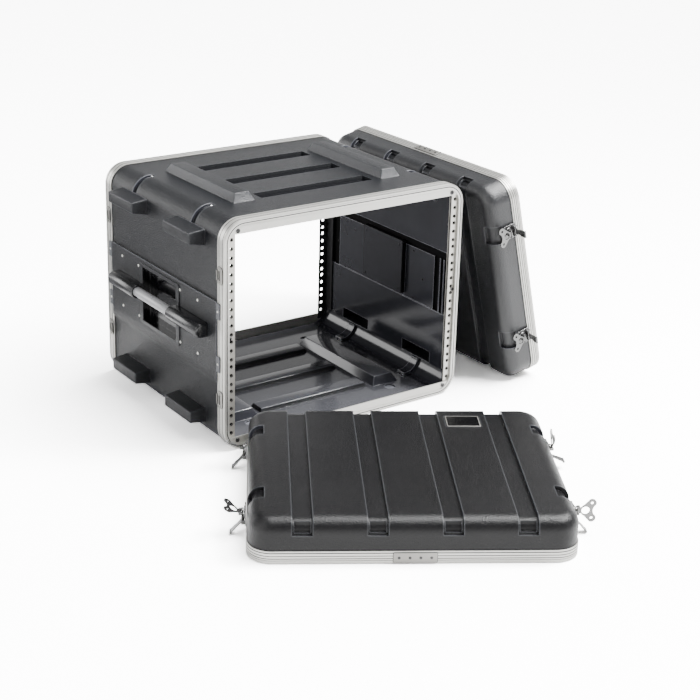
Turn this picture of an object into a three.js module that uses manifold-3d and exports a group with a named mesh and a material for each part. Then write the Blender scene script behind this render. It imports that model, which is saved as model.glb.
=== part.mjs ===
// 8U moulded rack case with two lift-off lids, millimetres, +Z up.
// Origin: middle of the front frame's bottom land, at floor level. +X right, -Y out of the front opening.
// Pieces are drawn about the middle of the case and moved back by SET_BACK.
import * as THREE from 'three';
import { mergeVertices } from 'three/addons/utils/BufferGeometryUtils.js';
import Module from 'manifold-3d';

const wasm = await Module();
wasm.setup();

// ---- driving dimensions -------------------------------------------------
const RACK_UNITS = 8;
const UNIT = 44.45;               // one rack unit
const HOLE_STEPS = [0, 15.875, 31.75];
const HOLE_X = 232.55;            // half of the 465.1 hole spacing
const BAY_X = 225.45;             // half of the clear bay width
const HOLE_R = 3.4;
const W = 497;                    // outside width of the frames
const H = 406;                    // outside height
const D = 424;                    // front frame face to rear frame face
const R = 38;                     // corner radius of the frames
const ZC = H / 2;                 // mid height
const FRAME_DEPTH = 23;           // side land of a frame
const SET_BACK = D / 2 - FRAME_DEPTH / 2;
const FRAME_T = 1.4;              // frame lip thickness
const RIM = 10;                   // proud rim on the frame face
const BAR = 23;                   // height of the top and bottom flange
const SHELL_IN = 1.8;             // shell surface below the frame surface
const WALL = 3.2;                 // moulded wall
const SHELL_END = 204.5;          // half length of the shells
const SKIRT_Z = 142;              // bottom edge of the upper shell skirt
const BAND_Z0 = 116;              // lap band, lower edge
const BAND_Z1 = 265;              // lap band, upper edge
const BAND_X = 250.2;             // outside of the lap band
const RAIL_FACE = D / 2 - 4.5;    // rail front face
const RAIL_T = 2;
const BUMP_X = 276;               // outside of the side bumpers
const CUP = { y0: -54.5, y1: 66, z0: 150, z1: 251, x: 236.5 };
const GRIP = { x: 262, z: 206, r: 9, half: 78 };
const SLEEVE = { front: [56, 161], rear: [66, 160], r: 13 };
const LATCH_V = 110;              // latch position either side of mid height
const LID_H = 70;                 // lid height over the frame plane
const LID_R = 22;                 // rounded outer edge of a lid
const LID_FRAME = 20.6;
const GROOVE_U = [-166.5, -55.5, 55.5, 166.5];
const FRONT_LID = { x: -93, y: -505, z: 0, turn: -32 };
const REAR_LID = { x: 389.3, y: 1, z: 209.3, lean: 13.5 };
// each latch at rest: turn of the boss, fold of the wing, swing of the hook off the lid wall, degrees
const FRONT_LATCHES = [[90, 90, 42], [0, 0, 68], [0, 60, 42], [20, 66, 42]];
const REAR_LATCHES = [[0, 0, 100], [0, 0, 92], [0, 0, 100], [0, 0, 92]];

// ---- finishes -----------------------------------------------------------
const abs = new THREE.MeshStandardMaterial({ name: 'moulded_abs', color: 0x2a2b2e, roughness: 0.55, metalness: 0.0 });
const alu = new THREE.MeshStandardMaterial({ name: 'frame_aluminium', color: 0xc9c8c2, roughness: 0.35, metalness: 0.9 });
const zinc = new THREE.MeshStandardMaterial({ name: 'zinc_steel', color: 0xbdbcb4, roughness: 0.3, metalness: 0.95 });
const gloss = new THREE.MeshStandardMaterial({ name: 'gloss_black_plastic', color: 0x121316, roughness: 0.22, metalness: 0.0 });
const grey = new THREE.MeshStandardMaterial({ name: 'grip_grey', color: 0xa9a9ab, roughness: 0.5, metalness: 0.0 });

const group = new THREE.Group();
group.name = 'equipment_rack_case';

// ---- helpers ------------------------------------------------------------
function solid(geometry) {
  let g = geometry.index ? geometry.toNonIndexed() : geometry;
  const bare = new THREE.BufferGeometry();
  bare.setAttribute('position', g.getAttribute('position'));
  g = mergeVertices(bare, 1e-4);
  return new wasm.Manifold(new wasm.Mesh({
    numProp: 3,
    vertProperties: new Float32Array(g.getAttribute('position').array),
    triVerts: new Uint32Array(g.index.array),
  }));
}
function add(name, body, material, place) {
  const m = body.getMesh();
  const g = new THREE.BufferGeometry();
  const pos = new Float32Array(m.numVert * 3);
  for (let i = 0; i < m.numVert; i++) {
    for (let k = 0; k < 3; k++) pos[i * 3 + k] = m.vertProperties[i * m.numProp + k];
  }
  g.setAttribute('position', new THREE.BufferAttribute(pos, 3));
  g.setIndex(new THREE.BufferAttribute(new Uint32Array(m.triVerts), 1));
  if (place) g.applyMatrix4(place);
  g.translate(0, SET_BACK, 0);
  const flat = g.toNonIndexed();
  flat.computeVertexNormals();
  const mesh = new THREE.Mesh(flat, material);
  mesh.name = name;
  group.add(mesh);
  return mesh;
}
function box(x0, x1, y0, y1, z0, z1) {
  const g = new THREE.BoxGeometry(x1 - x0, y1 - y0, z1 - z0);
  g.translate((x0 + x1) / 2, (y0 + y1) / 2, (z0 + z1) / 2);
  return solid(g);
}
// tapered block: rectangle a at low end, rectangle b at high end of the axis
function taper(axis, lo, hi, a, b) {
  const g = new THREE.BoxGeometry(1, 1, 1);
  const p = g.getAttribute('position');
  for (let i = 0; i < p.count; i++) {
    const c = [p.getX(i), p.getY(i), p.getZ(i)];
    const end = c[axis] < 0 ? a : b;
    const o = [0, 0, 0];
    const s = axis === 0 ? [1, 2] : axis === 1 ? [0, 2] : [0, 1];
    o[axis] = c[axis] < 0 ? lo : hi;
    o[s[0]] = c[s[0]] < 0 ? end[0] : end[1];
    o[s[1]] = c[s[1]] < 0 ? end[2] : end[3];
    p.setXYZ(i, o[0], o[1], o[2]);
  }
  return solid(g);
}
function rr(w, h, r, n = 6, cx = 0, cy = 0) {
  const pts = [];
  const c = [[w / 2 - r, h / 2 - r, 0], [-w / 2 + r, h / 2 - r, 90], [-w / 2 + r, -h / 2 + r, 180], [w / 2 - r, -h / 2 + r, 270]];
  for (const [x, y, a] of c) {
    for (let i = 0; i <= n; i++) {
      const t = THREE.MathUtils.degToRad(a + (90 * i) / n);
      pts.push(new THREE.Vector2(cx + x + r * Math.cos(t), cy + y + r * Math.sin(t)));
    }
  }
  return pts;
}
function circle(r, n, cx = 0, cy = 0) {
  const pts = [];
  for (let i = 0; i < n; i++) {
    const t = (2 * Math.PI * (i + 0.5)) / n;
    pts.push(new THREE.Vector2(cx + r * Math.cos(t), cy + r * Math.sin(t)));
  }
  return pts;
}
function prism(outline, depth, holes = []) {
  const s = new THREE.Shape(outline);
  for (const h of holes) s.holes.push(new THREE.Path(h));
  return new THREE.ExtrudeGeometry(s, { depth, bevelEnabled: false });
}
// outline in X,Z, running along Y
function prismY(outline, y0, y1, holes) {
  const g = prism(outline, y1 - y0, holes);
  g.rotateX(Math.PI / 2);
  g.translate(0, y1, 0);
  return solid(g);
}
function prismZ(outline, z0, z1, holes) {
  const g = prism(outline, z1 - z0, holes);
  g.translate(0, 0, z0);
  return solid(g);
}
// outline in Y,Z, running along X
function prismX(outline, x0, x1, holes) {
  const g = prism(outline, x1 - x0, holes);
  g.applyMatrix4(new THREE.Matrix4().makeBasis(
    new THREE.Vector3(0, 1, 0), new THREE.Vector3(0, 0, 1), new THREE.Vector3(1, 0, 0)));
  g.translate(x0, 0, 0);
  return solid(g);
}
function rod(axis, r, lo, hi, a, b, n = 12) {
  const g = new THREE.CylinderGeometry(r, r, hi - lo, n);
  if (axis === 0) { g.rotateZ(-Math.PI / 2); g.translate((lo + hi) / 2, a, b); }
  if (axis === 1) g.translate(a, (lo + hi) / 2, b);
  if (axis === 2) { g.rotateX(Math.PI / 2); g.translate(a, b, (lo + hi) / 2); }
  return solid(g);
}
const V2 = (x, y) => new THREE.Vector2(x, y);
function flipped(body) {
  return body.mirror([1, 0, 0]);
}

// ---- case shells --------------------------------------------------------
// the moulded outline inset by d
function caseForm(d) {
  return prismY(rr(W - 2 * SHELL_IN - 2 * d, H - 2 * SHELL_IN - 2 * d, R - SHELL_IN - d, 6, 0, ZC), -SHELL_END, SHELL_END);
}
const formOut = caseForm(0);
const formIn = caseForm(WALL);

function bumper(side, yc, z0, z1, t0, t1) {
  const base = [yc - 46, yc + 46, z0, z1];
  const tip = [yc - 45, yc + 45, t0, t1];
  const out = taper(0, 246, BUMP_X, base, tip);
  const core = taper(0, 238, BUMP_X - 3, [yc - 43, yc + 43, z0 + 3, z1 - 3], [yc - 42, yc + 42, t0 + 2.6, t1 - 2.6]);
  return side > 0 ? [out, core] : [flipped(out), flipped(core)];
}
const holeY = [CUP.y0 - 2.4, CUP.y1 + 2.4];
const cupHoles = [1, -1].map((s) => box(Math.min(s * 236, s * 256), Math.max(s * 236, s * 256),
  holeY[0], holeY[1], CUP.z0 - 2.4, CUP.z1 + 2.4));

{
  let out = formOut;
  let core = formIn;
  // edge notches
  for (const s of [1, -1]) {
    for (const yc of [-104, 104]) {
      const x0 = Math.min(s * 206, s * 260), x1 = Math.max(s * 206, s * 260);
      out = out.subtract(box(x0, x1, yc - 7, yc + 7, 372, 420).subtract(caseForm(5)));
      core = core.subtract(box(x0, x1, yc - 10, yc + 10, 368, 420).subtract(caseForm(5 + WALL)));
    }
  }
  // cross grooves in the top
  for (const yc of [-99, 0, 99]) {
    out = out.subtract(taper(2, 397, 410, [-113, 113, yc - 11, yc + 11], [-118, 118, yc - 19, yc + 19]));
    core = core.subtract(box(-120, 120, yc - 19, yc + 19, 393.8, 410));
  }
  const extra = [];
  const hollow = [];
  for (const s of [1, -1]) {
    const a = s > 0 ? [131, 176] : [-176, -131];
    extra.push(taper(2, 402, 419.2, [a[0], a[1], -120, 120], [a[0] + 8, a[1] - 8, -111, 111]));
    hollow.push(taper(2, 396, 416, [a[0] + 4, a[1] - 4, -116, 116], [a[0] + 11, a[1] - 11, -108, 108]));
    for (const yc of [-100, 100]) {
      const [o, c] = bumper(s, yc, 349, 378, 355, 375);
      extra.push(o);
      hollow.push(c);
    }
  }
  let shell = out;
  for (const e of extra) shell = shell.add(e);
  shell = shell.subtract(core);
  for (const h of hollow) shell = shell.subtract(h);
  for (const h of cupHoles) shell = shell.subtract(h);
  shell = shell.subtract(box(-300, 300, -300, 300, -10, SKIRT_Z));
  add('upper_shell', shell, abs);
}
{
  let out = formOut;
  let core = formIn;
  for (const s of [1, -1]) {
    const a = s > 0 ? [128, 179] : [-179, -128];
    out = out.subtract(taper(2, -2, 17, [a[0] - 2, a[1] + 2, -125, 125], [a[0] + 8, a[1] - 8, -114, 114]));
    core = core.subtract(taper(2, 3, 20.4, [a[0] - 4, a[1] + 4, -127, 127], [a[0] + 5, a[1] - 5, -117, 117]));
  }
  // edge notches
  for (const s of [1, -1]) {
    for (const yc of [-104, 104]) {
      const x0 = Math.min(s * 206, s * 260), x1 = Math.max(s * 206, s * 260);
      out = out.subtract(box(x0, x1, yc - 7, yc + 7, -14, 30).subtract(caseForm(5)));
      core = core.subtract(box(x0, x1, yc - 10, yc + 10, -14, 32.5).subtract(caseForm(5 + WALL)));
    }
  }
  for (const yc of [-99, 0, 99]) {
    out = out.subtract(taper(2, -2, 9, [-112, 112, yc - 18, yc + 18], [-108, 108, yc - 11, yc + 11]));
    core = core.subtract(box(-115, 115, yc - 18, yc + 18, 2, 12.2));
  }
  let shell = out.subtract(core);
  const hollow = [];
  shell = shell.subtract(box(-300, 300, -300, 300, SKIRT_Z - 0.5, 500));
  for (const s of [1, -1]) {
    const band = prismY([V2(246.4, BAND_Z0), V2(BAND_X, BAND_Z0 + 8), V2(BAND_X, BAND_Z1), V2(247, BAND_Z1), V2(247, SKIRT_Z - 0.5), V2(246.4, SKIRT_Z - 0.5)], -188.6, 188.6);
    shell = shell.add(s > 0 ? band : flipped(band));
    for (const e of [1, -1]) {
      for (const zc of [155, 249]) {
        const y0 = Math.min(e * 187, e * 199), y1 = Math.max(e * 187, e * 199);
        const tab = box(248.8, BAND_X, y0, y1, zc - 14, zc + 14);
        shell = shell.add(s > 0 ? tab : flipped(tab));
      }
    }
    for (const yc of [-99, 99]) {
      const [o, c] = bumper(s, yc, 30, 58, 34, 55);
      shell = shell.add(o);
      hollow.push(c);
    }
  }
  for (const h of hollow) shell = shell.subtract(h);
  for (const h of cupHoles) shell = shell.subtract(h);
  add('lower_shell', shell, abs);
}

// ---- frames and rails ---------------------------------------------------
function caseFrame() {
  const y = -D / 2;
  const outer = rr(W, H, R, 6, 0, ZC);
  const lip = prismY(outer, y, y + FRAME_DEPTH, [rr(W - 2 * FRAME_T, H - 2 * FRAME_T, R - FRAME_T, 6, 0, ZC)]);
  const rim = prismY(outer, y, y + 4, [rr(W - 2 * RIM, H - 2 * RIM, R - RIM, 6, 0, ZC)]);
  const flange = prismY(outer, y + 1.4, y + 4, [rr(W - 2 * RIM, H - 2 * BAR, 5, 2, 0, ZC)]);
  return lip.add(rim).add(flange);
}
const frontFrame = caseFrame();
add('front_frame', frontFrame, alu);
add('rear_frame', frontFrame.mirror([0, 1, 0]), alu);

function rail() {
  const holes = [];
  const first = ZC + (RACK_UNITS * UNIT - 2 * 6.35) / 2;
  for (let u = 0; u < RACK_UNITS; u++) {
    for (const s of HOLE_STEPS) holes.push(circle(HOLE_R, 6, HOLE_X, first - u * UNIT - s));
  }
  const outline = [V2(BAY_X, 13), V2(236, 13), V2(243, 23), V2(243, H - 23), V2(236, H - 13), V2(BAY_X, H - 13)];
  const plate = prismY(outline, -RAIL_FACE, -RAIL_FACE + RAIL_T, holes);
  return plate.add(box(241, 243, -RAIL_FACE + 1, -182, 36, H - 36));
}
const frontRight = rail();
add('front_right_rail', frontRight, zinc);
add('front_left_rail', flipped(frontRight), zinc);
add('rear_right_rail', frontRight.mirror([0, 1, 0]), zinc);
add('rear_left_rail', flipped(frontRight.mirror([0, 1, 0])), zinc);

// ---- handles ------------------------------------------------------------
function handle() {
  let h = box(CUP.x - 2, 250.8, CUP.y0 - 2, CUP.y1 + 2, CUP.z0 - 2, CUP.z1 + 2);
  h = h.add(box(250.5, 252, CUP.y0 - 11, CUP.y1 + 11, CUP.z0 - 6, CUP.z1 + 6));
  const d = [];
  for (let i = 0; i <= 10; i++) {
    const t = -Math.PI / 2 + (Math.PI * i) / 10;
    d.push(V2(GRIP.x + SLEEVE.r * Math.cos(t), GRIP.z + SLEEVE.r * Math.sin(t)));
  }
  d.push(V2(250.5, GRIP.z + SLEEVE.r), V2(250.5, GRIP.z - SLEEVE.r));
  const cut = box(CUP.x, 256, CUP.y0, CUP.y1, CUP.z0, CUP.z1);
  h = h.subtract(cut);
  for (const e of [1, -1]) {
    const [a, b] = e > 0 ? SLEEVE.rear : SLEEVE.front;
    let s = prismY(d, Math.min(e * a, e * b), Math.max(e * a, e * b));
    h = h.add(s);
    h = h.subtract(rod(1, GRIP.r + 0.3, Math.min(e * 50, e * (GRIP.half + 0.4)), Math.max(e * 50, e * (GRIP.half + 0.4)), GRIP.x, GRIP.z, 16));
  }
  return h;
}
const handleRight = handle();
add('right_handle_housing', handleRight, gloss);
add('left_handle_housing', flipped(handleRight), gloss);
const gripRight = rod(1, GRIP.r, -GRIP.half, GRIP.half, GRIP.x, GRIP.z, 16);
add('right_handle_grip', gripRight, grey);
add('left_handle_grip', flipped(gripRight), grey);

// ---- keepers on the case frames ----------------------------------------
function keeper(yc, zc) {
  const plate = prismX(rr(16, 30, 4, 2, yc, zc), 248.8, 250.3, [rr(5, 17, 2, 2, yc, zc)]);
  const rib = taper(0, 250, 252, [yc - 7 * Math.sign(yc) - 1.2, yc - 7 * Math.sign(yc) + 1.2, zc - 10, zc + 10],
    [yc - 7 * Math.sign(yc) - 0.8, yc - 7 * Math.sign(yc) + 0.8, zc - 9, zc + 9]);
  return plate.add(rib);
}
for (const [face, yc] of [['front', -199], ['rear', 199]]) {
  for (const [lvl, zc] of [['upper', ZC + LATCH_V], ['lower', ZC - LATCH_V]]) {
    const k = keeper(yc, zc);
    add(`${face}_right_${lvl}_keeper`, k, zinc);
    add(`${face}_left_${lvl}_keeper`, flipped(k), zinc);
  }
}

// ---- lids ---------------------------------------------------------------
// local frame of a lid: X along the long side, Y along the short side, Z out of the lid
function lidForm(d) {
  const r = R - SHELL_IN - d;
  const e = LID_R - d;
  const s = new THREE.Shape(rr(W - 2 * SHELL_IN - 2 * d, H - 2 * SHELL_IN - 2 * d, r, 5));
  const g = new THREE.ExtrudeGeometry(s, { depth: 90, bevelEnabled: true, bevelThickness: e, bevelSize: e, bevelOffset: -e, bevelSegments: 3 });
  g.translate(0, 0, LID_H - d - 90 - e);
  return solid(g);
}
const L0 = lidForm(0);
const LW = lidForm(WALL);
function lidShell(badge) {
  let out = L0;
  let core = LW;
  const cut = (b, c, d) => {
    out = out.subtract(b.subtract(lidForm(d)));
    core = core.subtract(c.subtract(lidForm(d + WALL)));
  };
  for (const u of GROOVE_U) {
    cut(box(u - 15, u + 15, -260, 260, 45, 90), box(u - 18, u + 18, -260, 260, 42, 90), 5.5);
    for (const s of [1, -1]) {
      const a = Math.min(s * 188, s * 260), b = Math.max(s * 188, s * 260);
      cut(box(u - 12, u + 12, a, b, 47, 62), box(u - 15, u + 15, Math.min(s * 184, s * 260), Math.max(s * 184, s * 260), 44, 65), 10);
    }
  }
  for (const s of [1, -1]) {
    for (const v of [-LATCH_V, LATCH_V]) {
      const a = Math.min(s * 222, s * 280), b = Math.max(s * 222, s * 280);
      const c = Math.min(s * 219, s * 280), d = Math.max(s * 219, s * 280);
      cut(box(a, b, v - 17, v + 17, 48, 90), box(c, d, v - 20, v + 20, 45, 90), 6.5);
    }
  }
  if (badge) out = out.subtract(box(111 - 29.5, 111 + 29.5, 141 - 21.5, 141 + 21.5, LID_H - 1.8, 90));
  const low = box(-300, 300, -300, 300, -200, 4.4);
  return out.subtract(core).subtract(low);
}
function lidFrame() {
  const outer = rr(W, H, R, 6);
  const lip = prismZ(outer, 0, LID_FRAME, [rr(W - 2 * FRAME_T, H - 2 * FRAME_T, R - FRAME_T, 6)]);
  const web = prismZ(outer, 0, 4, [rr(W - 2 * RIM, H - 2 * RIM, R - RIM, 6)]);
  return lip.add(web);
}
function splice(side) {
  const y = side * (H / 2 + 0.3);
  const g = prismX(rr(1.3, 16, 0.4, 1, y + side * 0.65, 10.3), -32.5, 32.5);
  let s = g;
  for (const x of [-24, -8, 8, 24]) s = s.add(rod(1, 2, Math.min(y + side * 1, y + side * 1.9), Math.max(y + side * 1, y + side * 1.9), x, 10.3, 8));
  return s;
}

// ---- butterfly latch ----------------------------------------------------
// local frame: X along the lid edge, Y towards the outside of the lid, Z away from the wall
const PIN_Y = 24, PIN_Z = 7.2, BOSS_Y = 37, WING_Z = 11.7;
function latchBase() {
  let b = prismZ(rr(27, 30, 4, 1, 0, 33), 2.1, 3.6);
  b = b.add(rod(2, 9.5, 3.4, 5.6, 0, BOSS_Y, 10));
  for (const s of [1, -1]) b = b.add(box(Math.min(s * 8.2, s * 10.4), Math.max(s * 8.2, s * 10.4), 20.5, 27, 3.4, 9.4));
  return b.add(rod(0, 1.3, -9, 9, PIN_Y, PIN_Z, 6));
}
function latchBoss() {
  let b = rod(2, 6.5, 5.9, 9.1, 0, 0, 10);
  for (const s of [1, -1]) b = b.add(box(Math.min(s * 5.5, s * 7.5), Math.max(s * 5.5, s * 7.5), -2.4, 2.4, 8.4, 13.9));
  return b.add(rod(0, 1.2, -6.5, 6.5, 0, WING_Z, 6));
}
function latchWing() {
  // flat plate, hinge along X at Y 0, lobes towards +Y
  const pts = [];
  const arc = (cx, cy, r, a0, a1, n) => {
    for (let i = 0; i <= n; i++) {
      const t = THREE.MathUtils.degToRad(a0 + ((a1 - a0) * i) / n);
      pts.push(V2(cx + r * Math.cos(t), cy + r * Math.sin(t)));
    }
  };
  pts.push(V2(-5, 1.2), V2(5, 1.2), V2(5, 4.5), V2(9.5, 9));
  arc(12.5, 21, 6.8, -15, 115, 5);
  arc(0, 35, 12.5, -56, -124, 4);
  arc(-12.5, 21, 6.8, 65, 195, 5);
  pts.push(V2(-9.5, 9), V2(-5, 4.5));
  const holes = [circle(2.3, 6, 12.5, 21), circle(2.3, 6, -12.5, 21), circle(6.4, 10, 0, 11.4)];
  let w = prismZ(pts, WING_Z - 0.9, WING_Z + 0.9, holes);
  w = w.add(rod(0, 2.3, -5, 5, 0, WING_Z, 8));
  return w.subtract(rod(0, 1.6, -8, 8, 0, WING_Z, 8));
}
function latchHook() {
  // hanging straight down from the pin at Y 0, Z 0
  let h = rod(0, 2.7, -7.6, 7.6, 0, 0, 8);
  h = h.add(box(-6.5, 6.5, -27, 0, -0.9, 0.9));
  h = h.add(rod(0, 2.1, -6.5, 6.5, -27.6, -0.6, 6));
  return h.subtract(rod(0, 1.7, -9, 9, 0, 0, 8));
}
const baseGeo = latchBase(), bossGeo = latchBoss(), wingGeo = latchWing(), hookGeo = latchHook();

function latch(prefix, lid, side, v, [turnDeg, flipDeg, hookDeg]) {
  // side +1 or -1 end of the lid
  const frame = new THREE.Matrix4().makeBasis(
    new THREE.Vector3(0, side, 0), new THREE.Vector3(0, 0, 1), new THREE.Vector3(side, 0, 0));
  frame.setPosition(side * (W / 2 - SHELL_IN), v, 0);
  const here = lid.clone().multiply(frame);
  add(`${prefix}_base`, baseGeo, zinc, here);
  const turn = here.clone()
    .multiply(new THREE.Matrix4().makeTranslation(0, BOSS_Y, 0))
    .multiply(new THREE.Matrix4().makeRotationZ(THREE.MathUtils.degToRad(turnDeg)));
  add(`${prefix}_boss`, bossGeo, zinc, turn);
  const flip = turn.clone()
    .multiply(new THREE.Matrix4().makeTranslation(0, 0, WING_Z))
    .multiply(new THREE.Matrix4().makeRotationX(THREE.MathUtils.degToRad(flipDeg)))
    .multiply(new THREE.Matrix4().makeTranslation(0, 0, -WING_Z));
  add(`${prefix}_wing`, wingGeo, zinc, flip);
  const swing = here.clone()
    .multiply(new THREE.Matrix4().makeTranslation(0, PIN_Y, PIN_Z))
    .multiply(new THREE.Matrix4().makeRotationX(THREE.MathUtils.degToRad(-hookDeg)));
  add(`${prefix}_hook`, hookGeo, zinc, swing);
}

function lid(prefix, place, badge, spliceSide, latches) {
  add(`${prefix}_shell`, lidShell(badge), abs, place);
  add(`${prefix}_frame`, lidFrame(), alu, place);
  add(`${prefix}_splice_plate`, splice(spliceSide), zinc, place);
  if (badge) add(`${prefix}_badge_plate`, prismZ(rr(58, 42, 2, 2, 111, 141), LID_H - 1.5, LID_H + 0.4), gloss, place);
  let n = 1;
  for (const side of [1, -1]) {
    for (const v of [-LATCH_V, LATCH_V]) { latch(`${prefix}_latch_${n}`, place, side, v, latches[n - 1]); n++; }
  }
}

const rad = THREE.MathUtils.degToRad;
const frontPlace = new THREE.Matrix4().makeTranslation(FRONT_LID.x, FRONT_LID.y, FRONT_LID.z)
  .multiply(new THREE.Matrix4().makeRotationZ(rad(FRONT_LID.turn)));
lid('front_lid', frontPlace, true, -1, FRONT_LATCHES);

const sn = Math.sin(rad(REAR_LID.lean)), cs = Math.cos(rad(REAR_LID.lean));
const rearPlace = new THREE.Matrix4().makeBasis(
  new THREE.Vector3(0, -1, 0), new THREE.Vector3(-sn, 0, cs), new THREE.Vector3(-cs, 0, -sn));
rearPlace.setPosition(REAR_LID.x, REAR_LID.y, REAR_LID.z);
lid('rear_lid', rearPlace, false, 1, REAR_LATCHES);

export default group;
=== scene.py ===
import bpy, bmesh, math
from mathutils import Vector, Matrix


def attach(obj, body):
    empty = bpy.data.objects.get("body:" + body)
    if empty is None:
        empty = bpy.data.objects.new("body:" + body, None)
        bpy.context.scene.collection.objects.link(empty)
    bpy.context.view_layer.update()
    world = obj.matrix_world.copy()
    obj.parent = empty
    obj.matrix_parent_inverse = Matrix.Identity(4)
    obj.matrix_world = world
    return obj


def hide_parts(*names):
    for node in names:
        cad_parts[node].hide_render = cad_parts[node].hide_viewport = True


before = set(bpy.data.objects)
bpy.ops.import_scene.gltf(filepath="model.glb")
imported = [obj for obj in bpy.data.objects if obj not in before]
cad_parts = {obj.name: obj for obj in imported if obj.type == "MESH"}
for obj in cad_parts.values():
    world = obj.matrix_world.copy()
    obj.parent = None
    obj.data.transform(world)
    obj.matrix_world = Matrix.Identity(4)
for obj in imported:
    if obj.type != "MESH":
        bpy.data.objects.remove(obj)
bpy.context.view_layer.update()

MM = 0.001
SB = 200.5                      # the case is drawn about its middle, then moved back
W, H, D, R = 497.0, 406.0, 424.0, 38.0
ZC = H / 2
SIN = 1.8                       # shell below the frame surface
WALL = 3.2
LATCH_V = 110.0
LID_H, LID_R, LID_FRAME = 70.0, 22.0, 20.6
GROOVES = (-166.5, -55.5, 55.5, 166.5)


# ------------------------------------------------------------------ meshes
def new_obj(name, verts, faces):
    me = bpy.data.meshes.new(name)
    me.from_pydata([tuple(v) for v in verts], [], [tuple(f) for f in faces])
    bm = bmesh.new()
    bm.from_mesh(me)
    bmesh.ops.recalc_face_normals(bm, faces=bm.faces)
    bm.to_mesh(me)
    bm.free()
    ob = bpy.data.objects.new(name, me)
    bpy.context.scene.collection.objects.link(ob)
    return ob


def rr(w, h, r, n=12, cx=0.0, cy=0.0):
    pts = []
    for x, y, a in ((w / 2 - r, h / 2 - r, 0), (-w / 2 + r, h / 2 - r, 90), (-w / 2 + r, -h / 2 + r, 180), (w / 2 - r, -h / 2 + r, 270)):
        for i in range(n + 1):
            t = math.radians(a + 90.0 * i / n)
            pts.append((cx + x + r * math.cos(t), cy + y + r * math.sin(t)))
    return pts


def circ(r, n, cx=0.0, cy=0.0):
    return [(cx + r * math.cos(2 * math.pi * (i + .5) / n), cy + r * math.sin(2 * math.pi * (i + .5) / n)) for i in range(n)]


def put(axis, a, b, t):
    return (t, a, b) if axis == 'X' else (a, t, b) if axis == 'Y' else (a, b, t)


def stack(name, axis, loops):
    """loops: list of (outline, position) with the same count; ends are capped."""
    v, f = [], []
    n = len(loops[0][0])
    for pts, t in loops:
        v += [put(axis, p[0], p[1], t) for p in pts]
    for k in range(len(loops) - 1):
        for i in range(n):
            j = (i + 1) % n
            f.append((k * n + i, k * n + j, (k + 1) * n + j, (k + 1) * n + i))
    f.append(tuple(range(n)))
    f.append(tuple((len(loops) - 1) * n + i for i in range(n)))
    return new_obj(name, v, f)


def prism(axis, pts, a, b, name="t"):
    return stack(name, axis, [(pts, a), (pts, b)])


def box(x0, x1, y0, y1, z0, z1, name="t"):
    x0, x1 = sorted((x0, x1)); y0, y1 = sorted((y0, y1)); z0, z1 = sorted((z0, z1))
    return prism('Z', [(x0, y0), (x1, y0), (x1, y1), (x0, y1)], z0, z1, name)


def rbox(axis, x0, x1, y0, y1, r, a, b, e=0.0, n=4, name="t"):
    """rounded-corner slab, e = softened top edge at b"""
    w, h, cx, cy = abs(x1 - x0), abs(y1 - y0), (x0 + x1) / 2, (y0 + y1) / 2
    loops = [(rr(w, h, r, n, cx, cy), a)]
    if e > 0:
        s = 1 if b > a else -1
        for k in range(0, 4):
            t = math.radians(30 * k)
            i = e * (1 - math.cos(t))
            loops.append((rr(w - 2 * i, h - 2 * i, max(r - i, .05), n, cx, cy), b - s * e + s * e * math.sin(t)))
    else:
        loops.append((rr(w, h, r, n, cx, cy), b))
    return stack(name, axis, loops)


def taper(axis, lo, hi, a, b, r=0.0, n=3):
    """a, b = (x0, x1, y0, y1) at lo and hi; r rounds the corners and the hi edge"""
    def outl(q, i, rad):
        return rr(q[1] - q[0] - 2 * i, q[3] - q[2] - 2 * i, max(rad - i * .6, .05), n, (q[0] + q[1]) / 2, (q[2] + q[3]) / 2)
    if r <= 0:
        return stack("t", axis, [(outl(a, 0, .05), lo), (outl(b, 0, .05), hi)])
    s = 1 if hi > lo else -1
    loops = [(outl(a, 0, r), lo)]
    for k in range(0, 4):
        t = math.radians(30 * k)
        i = r * (1 - math.cos(t))
        loops.append((outl(b, i, r), hi - s * r + s * r * math.sin(t)))
    return stack("t", axis, loops)


def rod(axis, r, a, b, c0, c1, n=24, e=0.0, name="t"):
    pts = [(c0 + r * math.cos(2 * math.pi * i / n), c1 + r * math.sin(2 * math.pi * i / n)) for i in range(n)]
    if e <= 0:
        return stack(name, axis, [(pts, a), (pts, b)])
    loops = []
    for t0, i0 in ((a, e), (a + e * .3, e * .3), (a + e, 0), (b - e, 0), (b - e * .3, e * .3), (b, e)):
        q = [(c0 + (r - i0) * math.cos(2 * math.pi * i / n), c1 + (r - i0) * math.sin(2 * math.pi * i / n)) for i in range(n)]
        loops.append((q, t0))
    return stack(name, axis, loops)


def revolve(prof, n=20, name="t"):
    """closed lathe about Z, profile from axis to axis as (r, z)"""
    v, f = [], []
    ring = []
    for r, z in prof:
        if r < 1e-6:
            ring.append([len(v)]); v.append((0, 0, z))
        else:
            ring.append(list(range(len(v), len(v) + n)))
            v += [(r * math.cos(2 * math.pi * i / n), r * math.sin(2 * math.pi * i / n), z) for i in range(n)]
    for a, b in zip(ring, ring[1:]):
        for i in range(n):
            j = (i + 1) % n
            if len(a) == 1 and len(b) == 1:
                continue
            if len(a) == 1:
                f.append((a[0], b[i], b[j]))
            elif len(b) == 1:
                f.append((a[i], a[j], b[0]))
            else:
                f.append((a[i], a[j], b[j], b[i]))
    return new_obj(name, v, f)


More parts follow.
